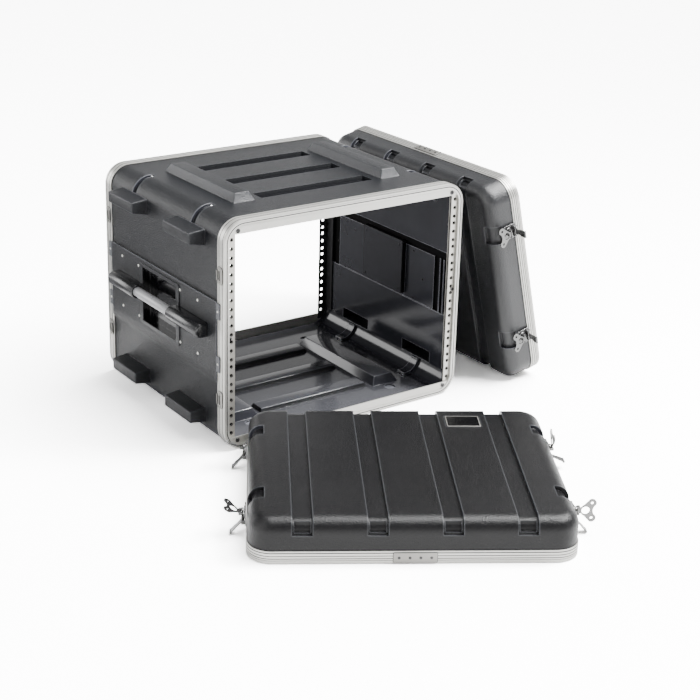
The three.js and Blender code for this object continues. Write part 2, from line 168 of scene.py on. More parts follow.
def loop_sweep(name, axis, prof, w, h, r, n=16, cx=0.0, cy=0.0, flip=1):
    """prof: closed list of (inset, position along axis) swept round a rounded rectangle"""
    v, f = [], []
    m = None
    for i, t in prof:
        pts = rr(w - 2 * i, h - 2 * i, r - i, n, cx, cy)
        m = len(pts)
        v += [put(axis, p[0], p[1], t * flip) for p in pts]
    k = len(prof)
    for a in range(k):
        b = (a + 1) % k
        for i in range(m):
            j = (i + 1) % m
            f.append((a * m + i, a * m + j, b * m + j, b * m + i))
    return new_obj(name, v, f)


def kill(ob):
    me = ob.data
    bpy.data.objects.remove(ob)
    if me.users == 0:
        bpy.data.meshes.remove(me)


def clone(ob, M=None, name="t"):
    c = ob.copy()
    c.data = ob.data.copy()
    c.name = name
    bpy.context.scene.collection.objects.link(c)
    if M is not None:
        c.data.transform(M)
        if M.determinant() < 0:
            c.data.flip_normals()
    return c


def fuse(base, cutters, op='DIFFERENCE', keep=False):
    for c in cutters:
        m = base.modifiers.new("b", 'BOOLEAN')
        m.operation = op
        m.object = c
        try:
            m.solver = 'MANIFOLD'
        except TypeError:
            m.solver = 'EXACT'
    bpy.context.view_layer.update()
    dg = bpy.context.evaluated_depsgraph_get()
    me = bpy.data.meshes.new_from_object(base.evaluated_get(dg))
    base.modifiers.clear()
    old = base.data
    base.data = me
    bpy.data.meshes.remove(old)
    if not keep:
        for c in cutters:
            kill(c)
    return base


def join(parts, name):
    """several closed bodies as one object"""
    bm = bmesh.new()
    for p in parts:
        bm.from_mesh(p.data)
    me = bpy.data.meshes.new(name)
    bm.to_mesh(me)
    bm.free()
    for p in parts:
        kill(p)
    ob = bpy.data.objects.new(name, me)
    bpy.context.scene.collection.objects.link(ob)
    return ob


MIRX = Matrix.Scale(-1, 4, Vector((1, 0, 0)))
MIRY = Matrix.Scale(-1, 4, Vector((0, 1, 0)))


def finish_piece(ob, name, mats, place=None, angle=32, body="case", nodes=(), chooser=None, bevel=0.0):
    M = Matrix.Translation((0, SB * MM, 0)) @ Matrix.Scale(MM, 4)
    if place is not None:
        M = M @ place
    ob.data.transform(M)
    if M.determinant() < 0:
        ob.data.flip_normals()
    bm = bmesh.new()
    bm.from_mesh(ob.data)
    bmesh.ops.remove_doubles(bm, verts=bm.verts, dist=2e-6)
    bmesh.ops.dissolve_degenerate(bm, edges=bm.edges, dist=1e-6)
    bm.to_mesh(ob.data)
    bm.free()
    ob.name = name
    ob.data.name = name
    ob.data.materials.clear()
    for m in mats:
        ob.data.materials.append(m)
    for p in ob.data.polygons:
        p.material_index = 0
        p.use_smooth = True
    if chooser:
        inv = M.inverted()
        rot = M.to_3x3().inverted()
        for p in ob.data.polygons:
            p.material_index = chooser(inv @ p.center, (rot @ p.normal).normalized())
    ob.data.set_sharp_from_angle(angle=math.radians(angle))
    if bevel > 0:
        b = ob.modifiers.new("edge", 'BEVEL')
        b.width = bevel * MM
        b.segments = 2
        b.limit_method = 'ANGLE'
        b.angle_limit = math.radians(35)
        b.harden_normals = False
    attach(ob, body)
    if nodes:
        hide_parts(*nodes)
    return ob


# --------------------------------------------------------------- materials
def mat(name):
    m = bpy.data.materials.new(name)
    m.use_nodes = True
    nt = m.node_tree
    return m, nt, nt.nodes["Principled BSDF"]


def tex(nt, kind, scale, detail=None, rough=None, coord=None):
    n = nt.nodes.new(kind)
    n.inputs["Scale"].default_value = scale
    if detail is not None and "Detail" in n.inputs:
        n.inputs["Detail"].default_value = detail
    if rough is not None and "Roughness" in n.inputs:
        n.inputs["Roughness"].default_value = rough
    if coord is None:
        coord = nt.nodes.new("ShaderNodeTexCoord").outputs["Object"]
    nt.links.new(coord, n.inputs["Vector"])
    return n


def ramp(nt, src, a, b, pa=0.0, pb=1.0):
    r = nt.nodes.new("ShaderNodeValToRGB")
    r.color_ramp.elements[0].position = pa
    r.color_ramp.elements[1].position = pb
    r.color_ramp.elements[0].color = (*a, 1) if len(a) == 3 else a
    r.color_ramp.elements[1].color = (*b, 1) if len(b) == 3 else b
    nt.links.new(src, r.inputs["Fac"])
    return r


def span(nt, src, lo, hi):
    r = nt.nodes.new("ShaderNodeMapRange")
    r.inputs["To Min"].default_value = lo
    r.inputs["To Max"].default_value = hi
    nt.links.new(src, r.inputs["Value"])
    return r.outputs["Result"]


def abs_plastic(name, dark, light, rlo, rhi, grain, bump, edge=1.2, spec=0.5, rim=None):
    m, nt, p = mat(name)
    co = nt.nodes.new("ShaderNodeTexCoord").outputs["Object"]
    cloud = tex(nt, "ShaderNodeTexNoise", 9, 3, .55, co)
    col = ramp(nt, cloud.outputs["Fac"], dark, light, .3, .7).outputs["Color"]
    if rim:
        # painted highlight: convex edges, found by an inside AO test, take a lighter colour
        ao = nt.nodes.new("ShaderNodeAmbientOcclusion")
        ao.inside = True
        ao.only_local = True
        ao.samples = 6
        ao.inputs["Distance"].default_value = 2.4 * MM
        edge_highlight_mask = nt.nodes.new("ShaderNodeMapRange")
        edge_highlight_mask.inputs["From Min"].default_value = .93
        edge_highlight_mask.inputs["From Max"].default_value = .52
        nt.links.new(ao.outputs["AO"], edge_highlight_mask.inputs["Value"])
        mx = nt.nodes.new("ShaderNodeMix")
        mx.data_type = 'RGBA'
        nt.links.new(edge_highlight_mask.outputs["Result"], mx.inputs[0])
        nt.links.new(col, mx.inputs[6])
        mx.inputs[7].default_value = (*rim, 1)
        col = mx.outputs[2]
    nt.links.new(col, p.inputs["Base Color"])
    fine = tex(nt, "ShaderNodeTexNoise", 60, 2, .5, co)
    nt.links.new(span(nt, fine.outputs["Fac"], rlo, rhi), p.inputs["Roughness"])
    p.inputs["Specular IOR Level"].default_value = spec
    peb = tex(nt, "ShaderNodeTexVoronoi", grain, None, None, co)
    peb.feature = 'SMOOTH_F1'
    peb2 = tex(nt, "ShaderNodeTexNoise", grain * 1.7, 2, .6, co)
    add = nt.nodes.new("ShaderNodeMath"); add.operation = 'MULTIPLY_ADD'
    nt.links.new(peb2.outputs["Fac"], add.inputs[0]); add.inputs[1].default_value = .8
    nt.links.new(peb.outputs["Distance"], add.inputs[2])
    bev = nt.nodes.new("ShaderNodeBevel")
    bev.samples = 4
    bev.inputs["Radius"].default_value = edge * MM
    bp = nt.nodes.new("ShaderNodeBump")
    bp.inputs["Strength"].default_value = bump
    bp.inputs["Distance"].default_value = 0.0007
    nt.links.new(add.outputs[0], bp.inputs["Height"])
    nt.links.new(bev.outputs["Normal"], bp.inputs["Normal"])
    nt.links.new(bp.outputs["Normal"], p.inputs["Normal"])
    return m


def metal(name, a, b, rlo, rhi, stretch=(1, 1, 1), metallic=1.0, bump=.05, scale=60):
    m, nt, p = mat(name)
    co = nt.nodes.new("ShaderNodeTexCoord").outputs["Object"]
    mp = nt.nodes.new("ShaderNodeMapping")
    mp.inputs["Scale"].default_value = stretch
    nt.links.new(co, mp.inputs["Vector"])
    n = tex(nt, "ShaderNodeTexNoise", scale, 4, .6, mp.outputs["Vector"])
    cloud = tex(nt, "ShaderNodeTexNoise", 7, 2, .5, co)
    nt.links.new(ramp(nt, cloud.outputs["Fac"], a, b, .3, .7).outputs["Color"], p.inputs["Base Color"])
    nt.links.new(span(nt, n.outputs["Fac"], rlo, rhi), p.inputs["Roughness"])
    p.inputs["Metallic"].default_value = metallic
    bp = nt.nodes.new("ShaderNodeBump")
    bp.inputs["Strength"].default_value = bump
    bp.inputs["Distance"].default_value = 0.0003
    nt.links.new(n.outputs["Fac"], bp.inputs["Height"])
    nt.links.new(bp.outputs["Normal"], p.inputs["Normal"])
    return m


# the rim colour given to each plastic below is a painted highlight on its convex edges
M_ABS = abs_plastic("case_abs", (.0064, .0069, .0081), (.0086, .0091, .0105), .285, .325, 520, .85, edge=1.8, spec=.21, rim=(.075, .078, .085))
# painted light: the rear lid's plastic has a lighter base colour than the front lid's same plastic
M_REAR_LIT = abs_plastic("rear_lid_abs_painted_light", (.0100, .0105, .0118), (.0130, .0136, .0150), .29, .335, 540, .70, edge=1.8, spec=.50, rim=(.045, .047, .052))
M_LID = abs_plastic("lid_abs", (.0032, .0032, .0036), (.0046, .0046, .0050), .27, .31, 600, .60, edge=1.8, spec=.22, rim=(.038, .040, .044))
M_IN = abs_plastic("abs_inside", (.0170, .0176, .0222), (.0215, .0221, .0275), .10, .16, 60, .02, edge=2.0, spec=.34, rim=(.16, .165, .185))
# painted light: the inner floor is a lighter copy of the inside plastic
M_FLOOR_LIT = abs_plastic("abs_inside_floor_painted_light", (.050, .051, .058), (.058, .059, .066), .10, .16, 60, .02, edge=2.0, spec=.70, rim=(.16, .165, .185))
# painted shade: the top grooves get a darker, less glossy copy of the case plastic
M_GROOVE_SHADE = abs_plastic("case_groove_painted_shade", (.0034, .0037, .0044), (.0048, .0051, .0060), .36, .42, 560, .55, edge=.8, spec=.015)
M_SLEEVE = abs_plastic("sleeve_black", (.0042, .0045, .0054), (.0058, .0061, .0070), .22, .28, 300, .10, edge=1.2, spec=.50)
M_CUPBACK = abs_plastic("cup_back", (.0110, .0115, .0150), (.0140, .0145, .0185), .12, .18, 60, .02, edge=.8, spec=.34)
# painted light: the stacking bars' sloped sides get a lighter copy of the case plastic
M_SLOPE_LIT = abs_plastic("bar_slope_painted_light", (.0200, .0213, .0245), (.0270, .0285, .0325), .27, .32, 520, .95, edge=.8, spec=.42)
# painted shade: near-black for the inner channels and the floor wells
M_PIT_SHADE = abs_plastic("abs_pit_painted_shade", (.0006, .0006, .0008), (.0010, .0010, .0013), .55, .7, 60, .03, edge=1.0, spec=.06)
M_BLACK = abs_plastic("black_gloss", (.0016, .0016, .0020), (.0024, .0024, .0028), .09, .16, 70, .02, edge=1.5, spec=.34)
M_FLANGE = abs_plastic("cup_flange", (.0064, .0069, .0081), (.0088, .0093, .0107), .30, .345, 560, .40, edge=1.0, spec=.26)
M_GRIP = abs_plastic("grip_grey", (.21, .212, .22), (.25, .252, .258), .24, .34, 300, .10, edge=.8, spec=.5)
M_ALU = metal("frame_alu", (.44, .435, .41), (.50, .495, .47), .32, .44, (1, 1, 14), .72, .04)
# painted shade: dark metal in the frames' grooves and on the sides of plates
M_LINE_SHADE = metal("frame_groove_painted_shade", (.018, .018, .0175), (.028, .028, .027), .45, .6, (1, 1, 6), .4, .04)
M_RAIL = metal("rail_zinc", (.42, .405, .37), (.48, .465, .43), .30, .42, (1, 1, 1), .75, .05)
# painted shade: dark metal on the rear rails' inner faces, in the rail holes and on the strip behind them
M_SHADE = metal("rail_painted_shade", (.006, .006, .007), (.010, .010, .011), .4, .5, (1, 1, 1), .3, .05)
M_ZINC = metal("latch_nickel", (.105, .105, .106), (.165, .165, .162), .15, .25, (1, 1, 1), .88, .06)
M_PLATE = metal("splice_steel", (.22, .215, .20), (.27, .265, .25), .34, .48, (1, 1, 1), .85, .10, 160)
M_SCREW = metal("screw_steel", (.04, .04, .04), (.08, .08, .08), .22, .36, (1, 1, 1), 1.0, .04)
M_DARK = abs_plastic("badge_black", (.0014, .0014, .0016), (.0022, .0022, .0025), .20, .28, 60, .02, edge=.6, spec=.3)


def sdf(x, z, w=W - 2 * SIN, h=H - 2 * SIN, r=R - SIN):
    qx, qz = abs(x) - w / 2 + r, abs(z - ZC) - h / 2 + r
    return math.hypot(max(qx, 0), max(qz, 0)) + min(max(qx, qz), 0) - r


# -------------------------------------------------------------- case shells
def case_form(d, y0=-204.5, y1=204.5, n=14):
    return prism('Y', rr(W - 2 * SIN - 2 * d, H - 2 * SIN - 2 * d, R - SIN - d, n, 0, ZC), y0, y1)


def bumper(s, yc, z0, z1, t0, t1):
    o = taper('X', 246 * s, 276 * s, (yc - 46, yc + 46, z0, z1), (yc - 45, yc + 45, t0, t1), 2.2)
    c = taper('X', 238 * s, 273 * s, (yc - 43, yc + 43, z0 + 3, z1 - 3), (yc - 42, yc + 42, t0 + 2.6, t1 - 2.6))
    return o, c


def cup_hole():
    return [box(236 * s, 256 * s, -56.9, 68.4, 147.6, 253.4) for s in (1, -1)]


def channels():
    out = []
    for s in (1, -1):
        out.append(box(240 * s, 246.25 * s, -186, 186, 247.5, 262))
        for y0, y1 in ((-186, -145), (160, 186)):
            out.append(fuse(box(240 * s, 246.25 * s, y0, y1, 141.9, 248), [box(238 * s, 250 * s, y0 + 12 + k * 11, y0 + 15.5 + k * 11, 130, 250) for k in (0, 1) if y1 - y0 > 30]))
    return out


def inner_face(c, n):
    d = sdf(c.x, c.z)
    # painted shade in the inner channels
    if 243.7 < abs(c.x) < 246.4 and abs(c.y) < 187 and 141 < c.z < 263 and d < -.3:
        return 2
    # painted shade in the top grooves
    if 396.4 < c.z < H - SIN - .15 and abs(c.x) < 122 and min(abs(c.y - k) for k in (-99, 0, 99)) < 21:
        return 3
    # painted light on the inner floor
    if 2.5 < c.z < 24 and abs(c.x) < 206 and n.z > .6:
        return 4
    # painted light on the stacking bars' sloped sides
    if c.z > 405 and 130 < abs(c.x) < 177 and .1 < n.z < .9:
        return 5
    # painted shade in the floor wells
    if c.z < 5.2 and math.hypot(abs(c.x) - 152, abs(c.y) - 142) < 10.5:
        return 2
    if abs(c.x) > 247.2:
        return 0
    if abs(n.y) > .7:
        return 1 if d < -1.2 and abs(c.y) < 203 and not (c.z > 396 or c.z < 10) else 0
    out = Vector((c.x / 248, 0, (c.z - ZC) / 203))
    if d < -9.0 and not (c.z < 24 or c.z > 390):
        return 1
    return 1 if n.dot(out) < 0 else 0


up = case_form(0)
cuts, pads = [], []
for s in (1, -1):
    for yc in (-104, 104):
        cuts.append(fuse(box(206 * s, 260 * s, yc - 7, yc + 7, 372, 420), [case_form(5)]))
        pads.append(fuse(box(206 * s, 260 * s, yc - 10, yc + 10, 368, 420), [case_form(8.2)]))
for yc in (-99, 0, 99):
    cuts.append(taper('Z', 410, 397.2, (-121, 121, yc - 20, yc + 20), (-113, 113, yc - 11, yc + 11), 1.5))
    pads.append(box(-120, 120, yc - 19, yc + 19, 393.8, 410))
fuse(up, cuts)
bars, hollow = [], []
for s in (1, -1):
    a = (131, 176) if s > 0 else (-176, -131)
    bars.append(taper('Z', 402, 419.2, (a[0], a[1], -120, 120), (a[0] + 8, a[1] - 8, -111, 111), 1.6))
    hollow.append(taper('Z', 396, 416, (a[0] + 4, a[1] - 4, -116, 116), (a[0] + 11, a[1] - 11, -108, 108)))
    for yc in (-100, 100):
        o, c = bumper(s, yc, 349, 378, 355, 375)
        bars.append(o)
        hollow.append(c)
fuse(up, bars, 'UNION')
core = fuse(case_form(WALL, -260, 260), pads)
fuse(up, [core] + hollow + cup_hole() + channels() + [box(-300, 300, -300, 300, -10, 142)])
finish_piece(up, "upper_shell_look", [M_ABS, M_IN, M_PIT_SHADE, M_GROOVE_SHADE, M_FLOOR_LIT, M_SLOPE_LIT], nodes=("upper_shell",), chooser=inner_face)

lo = case_form(0)
cuts, pads = [], []
for s in (1, -1):
    a = (128, 179) if s > 0 else (-179, -128)
    cuts.append(taper('Z', -2, 17, (a[0] - 2, a[1] + 2, -125, 125), (a[0] + 8, a[1] - 8, -114, 114)))
    pads.append(taper('Z', 3, 20.4, (a[0] - 4, a[1] + 4, -127, 127), (a[0] + 5, a[1] - 5, -117, 117), 1.4))
for s in (1, -1):
    for yc in (-104, 104):
        cuts.append(fuse(box(206 * s, 260 * s, yc - 7, yc + 7, -14, 30), [case_form(5)]))
        pads.append(fuse(box(206 * s, 260 * s, yc - 10, yc + 10, -14, 32.5), [case_form(8.2)]))
for yc in (-99, 0, 99):
    cuts.append(taper('Z', -2, 9, (-112, 112, yc - 18, yc + 18), (-108, 108, yc - 11, yc + 11)))
    pads.append(taper('Z', 2, 12.2, (-117, 117, yc - 20, yc + 20), (-113, 113, yc - 15, yc + 15), 1.2))
fuse(lo, cuts)
core = fuse(case_form(WALL, -260, 260), pads)
# shallow round wells beside the ends of the stacking forms
wells = [rod('Z', 10, 2.9, 9, x, y, 28) for x, y in ((152, 142), (152, -142), (-152, 142), (-152, -142))]
fuse(lo, [core, box(-300, 300, -300, 300, 141.5, 500)] + wells)
adds, hollow = [], []
for s in (1, -1):
    adds.append(prism('Y', [(246.4 * s, 116), (250.2 * s, 124), (250.2 * s, 265), (247 * s, 265), (247 * s, 141.5), (246.4 * s, 141.5)], -188.6, 188.6))
    for e in (1, -1):
        for zc in (155, 249):
            adds.append(rbox('X', 187 * e, 199 * e, zc - 14, zc + 14, 1.0, 248.8 * s, 250.2 * s, 0, 3))
    for yc in (-99, 99):
        o, c = bumper(s, yc, 30, 58, 34, 55)
        adds.append(o)
        hollow.append(c)
fuse(lo, adds, 'UNION')
fuse(lo, hollow + cup_hole())
finish_piece(lo, "lower_shell_look", [M_ABS, M_IN, M_PIT_SHADE, M_GROOVE_SHADE, M_FLOOR_LIT], nodes=("lower_shell",), chooser=inner_face)

# ------------------------------------------------------------ case frames
Y0 = -D / 2
prof = [(0, 1.3), (.35, .45), (1.1, 0), (4.6, 0), (4.8, 1.0), (6.0, 1.0), (6.2, 0), (9.4, 0), (9.9, .3), (10, .9), (10, 4), (1.4, 4), (1.4, 23),
        (.2, 23), (0, 22.6), (0, 17.6), (.6, 17.4), (.6, 16.3), (0, 16.1), (0, 7.2), (.6, 7.0), (.6, 5.9), (0, 5.7)]
def outline_inset(a, b, w=W, h=H, r=R):
    qx, qy = abs(a) - w / 2 + r, abs(b) - h / 2 + r
    return r - math.hypot(max(qx, 0), max(qy, 0)) - min(max(qx, qy), 0)


# painted shade in the case frame's grooves
def frame_lines(c, n):
    i, t = outline_inset(c.x, c.z - ZC), D / 2 - abs(c.y)
    if .1 < i < .8 and (5.75 < t < 7.15 or 16.15 < t < 17.55):
        return 1
    return 1 if .3 < t < 1.3 and 4.65 < i < 6.15 else 0


# painted shade in the lid frame's grooves
def lid_lines(c, n):
    i = outline_inset(c.x, c.y)
    return 1 if .1 < i < .9 and 5 < c.z < 18.9 else 0


def case_frame(name, sgn, node):
    f = loop_sweep("t", 'Y', [(i, Y0 + t) for i, t in prof], W, H, R, 16, 0, ZC)
    plate = prism('Y', rr(W - 18, H - 18, R - 9, 16, 0, ZC), Y0 + 1.4, Y0 + 3.6)
    fuse(plate, [prism('Y', rr(W - 20, H - 46, 5, 5, 0, ZC), Y0 - 5, Y0 + 9)])
    fuse(f, [plate], 'UNION')
    if sgn < 0:
        f.data.transform(MIRY)
        f.data.flip_normals()
    finish_piece(f, name, [M_ALU, M_LINE_SHADE], nodes=(node,), chooser=frame_lines)
case_frame("front_frame_look", 1, "front_frame")
case_frame("rear_frame_look", -1, "rear_frame")

# -------------------------------------------------------------------- rails
FIRST = ZC + 171.45
# painted shade on all faces of the rear rails except the outer face
def rail_faces(c, n):
    return 0 if n.y < -.5 and c.y < -207 else 1


# painted shade in the holes and on the strip behind the front rails
def thread_faces(c, n):
    return 1 if 226 < c.x < 239 and (c.y > -205.45 or (abs(n.y) < .5 and 229 < c.x < 236.2 and 15 < c.z < 390)) else 0


def rail(name, sx, sy, node):
    pts = [(225.45, 13), (236, 13), (243, 23), (243, 383), (236, 393), (225.45, 393)]
    p = prism('Y', pts, -207.5, -205.5)
    holes = []
    for u in range(8):
        for o in (0, 15.875, 31.75):
            holes.append(rod('Y', 3.4, -215, -200, 232.55, FIRST - u * 44.45 - o, 20))
    fuse(p, [join(holes, "h")])
    fuse(p, [box(241, 243, -206.5, -182, 36, 370)], 'UNION')
    if sy > 0:
        strip = box(227.5, 237.6, -205.7, -200.5, 18, 388)
        holes = []
        for u in range(8):
            for o in (0, 15.875, 31.75):
                holes.append(rod('Y', 2.7, -206.4, -195, 232.55, FIRST - u * 44.45 - o, 16))
        fuse(strip, [join(holes, "h")])
        fuse(p, [strip], 'UNION')
    M = Matrix.Identity(4)
    if sx < 0:
        M = MIRX @ M
    if sy < 0:
        M = MIRY @ M
    finish_piece(p, name, [M_RAIL, M_SHADE], place=M, nodes=(node,), chooser=thread_faces if sy > 0 else rail_faces)
rail("front_right_rail_look", 1, 1, "front_right_rail")
rail("front_left_rail_look", -1, 1, "front_left_rail")
rail("rear_right_rail_look", 1, -1, "rear_right_rail")
rail("rear_left_rail_look", -1, -1, "rear_left_rail")


# --------------------------------------------------------- screws and rivets
def screw_head(r=4.0, h=2.0):
    s = revolve([(0, 0), (r, 0), (r, h * .35), (r * .86, h * .72), (r * .55, h * .95), (0, h)], 24)
    c1 = box(-r * .52, r * .52, -.5, .5, h * .45, h + 1)
    c2 = box(-.5, .5, -r * .52, r * .52, h * .45, h + 1)
    return fuse(s, [c1, c2])


def rivet(r=2.6, h=1.2):
    return revolve([(0, 0), (r, 0), (r * .96, h * .35), (r * .75, h * .75), (r * .4, h * .97), (0, h)], 16)


def facing(x, y, z, d):
    """places a head standing along +Z so that it faces direction d"""
    q = Vector(d).normalized().to_track_quat('Z', 'Y').to_matrix().to_4x4()
    return Matrix.Translation((x, y, z)) @ q


proto = screw_head()
for f, yy, dy in (("front", Y0 + 1.4, -1), ("rear", -Y0 - 1.4, 1)):
    parts = []
    for x in (222, -222):
        for z in (388.8, 17.2):
            parts.append(clone(proto, facing(x, yy, z, (0, dy, 0))))
    finish_piece(join(parts, "s"), f"{f}_frame_screws", [M_SCREW])
    parts = []
    yr = yy + (-dy) * 3.1
    for x in (237.8, -237.8):
        parts.append(clone(proto, facing(x * .99, yr, FIRST - 3 * 44.45 - 31.75 - 6.35, (0, dy, 0)) @ Matrix.Scale(.85, 4)))
    finish_piece(join(parts, "s"), f"{f}_rail_screws", [M_SCREW])
kill(proto)

rv = rivet()
for s, nm in ((1, "right"), (-1, "left")):
    parts = []
    for y in (145.5, 83.3, -67.2, -127.1):
        for z in (248.6, 152.6):
            if -59 < y < 71:
                continue
            parts.append(clone(rv, facing(s * 250.2, y, z, (s, 0, 0))))
    for y in (193, -193):
        for z in (249, 155):
            parts.append(clone(rv, facing(s * 250.2, y, z, (s, 0, 0)) @ Matrix.Scale(.8, 4)))
    finish_piece(join(parts, "r"), f"{nm}_band_rivets", [M_ALU])
    # tails of the same rivets and the cup's corner screws, inside
    parts = []
    for y, z in ((138, 239.8), (138, 144.5), (163, 191.5), (-82, 239.8), (-82, 145.5), (-111, 191)):
        parts.append(clone(rv, facing(s * 243.5, y, z, (-s, 0, 0)) @ Matrix.Scale(.8, 4)))
    for y in (-47.5, 59):
        for z in (157, 244):
            parts.append(clone(rv, facing(s * 234.5, y, z, (-s, 0, 0)) @ Matrix.Scale(.9, 4)))
    finish_piece(join(parts, "r"), f"{nm}_inside_fixings", [M_BLACK])
kill(rv)


# ------------------------------------------------------------------ handles
def handle(s, nm):
    h = box(234.5, 250.8, -56.5, 68, 148, 253)
    ring = rbox('X', -65.2, 76.6, 144, 257, 3, 250.5, 252, .6)
    fuse(h, [ring], 'UNION')
    fuse(h, [box(236.5, 256, -54.5, 66, 150, 251)])
    prof = []
    for i in range(21):
        t = -math.pi / 2 + math.pi * i / 20
        prof.append((262 + 13 * math.cos(t), 206 + 13 * math.sin(t)))
    prof += [(250.5, 219), (250.5, 193)]
    cx, cz = 260, 206
    for e, y0, y1 in ((1, 66, 160), (-1, 56, 161)):
        loops = []
        for y, k in ((y0, .94), (y0 + .6, .975), (y0 + 2, 1), (y1 - 4, 1), (y1 - 1.6, .96), (y1 - .5, .88), (y1, .78)):
            loops.append(([(250.5 + (x - 250.5) * (k if x > 251 else 1), cz + (z - cz) * k) for x, z in prof], e * y))
        fuse(h, [stack("t", 'Y', loops)], 'UNION')
        fuse(h, [rod('Y', 9.3, min(e * 50, e * 78.4), max(e * 50, e * 78.4), 262, 206, 32)])
    M = Matrix.Identity(4) if s > 0 else MIRX
    finish_piece(h, f"{nm}_handle_housing_look", [M_BLACK, M_FLANGE, M_SLEEVE, M_CUPBACK], chooser=lambda c, n: 3 if c.x < 235.5 and n.x < -.6 else 1 if 250.45 < c.x < 252.2 and (abs(c.z - 206) > 13.2 or abs(n.x) > .5) else (2 if c.x > 252.2 else 0), place=M, nodes=(f"{nm}_handle_housing",), angle=38)
    g = rod('Y', 9, -78, 78, 262, 206, 40, .8)
    finish_piece(g, f"{nm}_handle_grip_look", [M_GRIP], place=M, nodes=(f"{nm}_handle_grip",), angle=50)
handle(1, "right")
handle(-1, "left")


# ------------------------------------------------------------------ keepers
# painted shade on the sides of the keeper plates
def shaded_sides(axis):
    return lambda c, n: 1 if abs(n[axis]) < .6 else 0


def keeper(f, nm, lvl, s, yc, zc):
    k = rbox('X', yc - 8, yc + 8, zc - 15, zc + 15, 4, 248.8, 250.3, .4)
    fuse(k, [prism('X', rr(5, 17, 2.2, 6, yc, zc), 240, 260)])
    rib = taper('X', 250, 252.0, (yc - 7 * math.copysign(1, yc) - 1.2, yc - 7 * math.copysign(1, yc) + 1.2, zc - 10, zc + 10),
                (yc - 7 * math.copysign(1, yc) - .8, yc - 7 * math.copysign(1, yc) + .8, zc - 9, zc + 9), .5)
    fuse(k, [rib], 'UNION')
    for dz in (-11.6, 11.6):
        r_ = revolve([(0, 0), (1.7, 0), (1.5, .5), (.8, .8), (0, .9)], 12)
        r_.data.transform(facing(250.2, yc, zc + dz, (1, 0, 0)))
        fuse(k, [r_], 'UNION')
    finish_piece(k, f"{f}_{nm}_{lvl}_keeper_look", [M_PLATE, M_LINE_SHADE], chooser=shaded_sides(0), place=Matrix.Identity(4) if s > 0 else MIRX,
                 nodes=(f"{f}_{nm}_{lvl}_keeper",))
for f, yc in (("front", -199), ("rear", 199)):
    for lvl, zc in (("upper", ZC + LATCH_V), ("lower", ZC - LATCH_V)):
        for s, nm in ((1, "right"), (-1, "left")):
            keeper(f, nm, lvl, s, yc, zc)


# --------------------------------------------------------------------- lids
def lid_form(d, z0=-60.0, n=12, m=8):
    w, h, r, e = W - 2 * SIN - 2 * d, H - 2 * SIN - 2 * d, R - SIN - d, LID_R - d
    top = LID_H - d
    loops = [(rr(w, h, r, n), z0)]
    for k in range(m + 1):
        t = math.pi / 2 * k / m
        i = e * (1 - math.cos(t))
        loops.append((rr(w - 2 * i, h - 2 * i, r - i, n), top - e + e * math.sin(t)))
    return stack("t", 'Z', loops)


def lid_shell(badge):
    out = lid_form(0)
    core = lid_form(WALL, -80)
    def cut(b, c, d):
        fuse(b, [lid_form(d)])
        fuse(c, [lid_form(d + WALL)])
        fuse(out, [b])
        fuse(core, [c])
    for u in GROOVES:
        cut(box(u - 15, u + 15, -260, 260, 45, 90), box(u - 18, u + 18, -260, 260, 42, 90), 5.5)
        for s in (1, -1):
            cut(box(u - 12, u + 12, 188 * s, 260 * s, 47, 62), box(u - 15, u + 15, 184 * s, 260 * s, 44, 65), 10)
    for s in (1, -1):
        for v in (-LATCH_V, LATCH_V):
            cut(box(222 * s, 280 * s, v - 17, v + 17, 48, 90), box(219 * s, 280 * s, v - 20, v + 20, 45, 90), 6.5)
    if badge:
        fuse(out, [prism('Z', rr(59, 43, 2.4, 5, 111, 141), LID_H - 1.8, 90)])
    fuse(out, [core, box(-300, 300, -300, 300, -200, 4.4)])
    return out


def lid_inner(c, n):
    qx, qy = abs(c.x) - 246.7 + 36.2, abs(c.y) - 201.2 + 36.2
    d = math.hypot(max(qx, 0), max(qy, 0)) + min(max(qx, qy), 0) - 36.2
    inward = Vector((c.x / 246, c.y / 201, (c.z - 20) / 50 if c.z > 48 else 0))
    if c.z < 5:
        return 0
    return 1 if n.dot(inward) < 0 and (d < -2 or c.z > 60) and not (n.z > .3) else 0


LPROF = [(0, .5), (.5, 0), (9.6, 0), (10, .4), (10, 4), (1.4, 4), (1.4, 20.6), (.5, 20.6), (0, 20.1), (0, 18.4), (.8, 18.2), (.8, 17.0), (0, 16.8),
         (0, 13.4), (.7, 13.25), (.7, 12.35), (0, 12.2), (0, 9.2), (.7, 9.05), (.7, 8.15), (0, 8.0), (0, 5.9), (.5, 5.8), (.5, 5.3), (0, 5.2)]


def lid_frame():
    return loop_sweep("t", 'Z', LPROF, W, H, R, 16)


# painted shade on the splice plate's sides
def splice_faces(c, n):
    if abs(n.y) < .6 or abs(c.y) < H / 2 + .75:
        return 1
    return 2 if abs(c.y) > H / 2 + 1.55 else 0


def splice(side):
    y = side * (H / 2 + .3)
    p = rbox('Y', -32.5, 32.5, 2.3, 18.3, 1.2, y, y + side * 1.2, .3)
    fuse(p, [rbox('Y', -33.2, 33.2, 1.7, 18.9, 1.5, y - side * .2, y + side * .35)], 'UNION')
    for x in (-24, -8, 8, 24):
        r_ = revolve([(0, 0), (2.3, 0), (2.1, .6), (1.2, .95), (0, 1.05)], 14)
        r_.data.transform(facing(x, y + side * 1.1, 10.3, (0, side, 0)))
        fuse(p, [r_], 'UNION')
    return p


# latch, local frame: X along the lid edge, Y to the outside of the lid, Z off the wall
PIN_Y, PIN_Z, BOSS_Y, WING_Z = 24.0, 7.2, 37.0, 11.7


